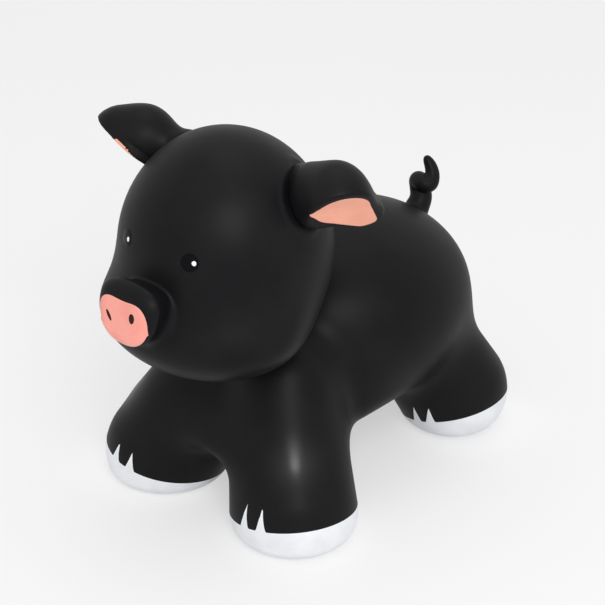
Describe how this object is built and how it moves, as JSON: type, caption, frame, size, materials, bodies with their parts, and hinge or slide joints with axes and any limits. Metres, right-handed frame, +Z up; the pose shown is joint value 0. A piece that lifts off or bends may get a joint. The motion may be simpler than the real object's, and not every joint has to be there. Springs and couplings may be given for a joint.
{
  "type": "bouncy ride-on animal",
  "caption": "Inflatable ride-on piglet with a soft hollow skin, splayed legs on flat hooves, floppy lined ears, a snout pad, a corkscrew tail and an air valve under the belly.",
  "frame": {"origin": "on the floor, under the middle of the length and width", "axes": "+Z up, the snout points along -Y, and the animal's left side is +X"},
  "size_m": [0.358, 0.5318, 0.4593],
  "materials": {
    "skin": "soft matte",
    "hoof_paint": "satin paint",
    "snout_paint": "satin paint",
    "lining_paint": "satin paint",
    "eye_gloss": "gloss",
    "nostril_paint": "matte paint",
    "glint_paint": "gloss",
    "plug": "satin"
  },
  "bodies": {
    "feet": {"hoof_front_left": "hoof_paint", "hoof_front_right": "hoof_paint", "hoof_rear_left": "hoof_paint", "hoof_rear_right": "hoof_paint", "leg_front_left": "skin", "leg_front_right": "skin", "leg_rear_left": "skin", "leg_rear_right": "skin"},
    "torso": {"torso": "skin", "tail_root": "skin", "valve_seat": "skin"},
    "head": {"neck": "skin", "head": "skin", "muzzle": "skin", "snout_pad": "snout_paint", "nostril_left": "nostril_paint", "nostril_right": "nostril_paint", "eye_left": "eye_gloss", "eye_right": "eye_gloss", "glint_left": "glint_paint", "glint_right": "glint_paint", "ear_root_left": "skin", "ear_root_right": "skin"},
    "ear_left": {"ear_left": "skin", "ear_lining_left": "lining_paint"},
    "ear_right": {"ear_right": "skin", "ear_lining_right": "lining_paint"},
    "tail": {"tail": "skin"},
    "plug": {"valve_plug": "plug"}
  },
  "joints": [
    {"name": "bounce", "type": "slide", "parent": "feet", "child": "torso", "axis": [0, 0, 1], "range_m": [-0.025, 0], "stiffness_N_per_m": 6000, "springref_m": 0.006, "deforming": ["leg_front_left", "leg_front_right", "leg_rear_left", "leg_rear_right"]},
    {"name": "head_nod", "type": "hinge", "parent": "torso", "child": "head", "pos_m": [0, -0.024, 0.215], "axis": [1, 0, 0], "range_deg": [-5, 5], "stiffness_Nm_per_rad": 30, "springref_deg": -1.6},
    {"name": "ear_left_flex", "type": "hinge", "parent": "head", "child": "ear_left", "pos_m": [0.0867, -0.0819, 0.4082], "axis": [0, 1, 0], "range_deg": [-12, 12], "stiffness_Nm_per_rad": 2},
    {"name": "ear_right_flex", "type": "hinge", "parent": "head", "child": "ear_right", "pos_m": [-0.0867, -0.0819, 0.4082], "axis": [0, 1, 0], "range_deg": [-12, 12], "stiffness_Nm_per_rad": 2},
    {"name": "tail_flex", "type": "hinge", "parent": "torso", "child": "tail", "pos_m": [0, 0.233, 0.238], "axis": [0, 1, 0], "range_deg": [-15, 15], "stiffness_Nm_per_rad": 0.5},
    {"name": "plug_pull", "type": "slide", "parent": "torso", "child": "plug", "axis": [0, 0, -1], "range_m": [0, 0.022]}
  ]
}
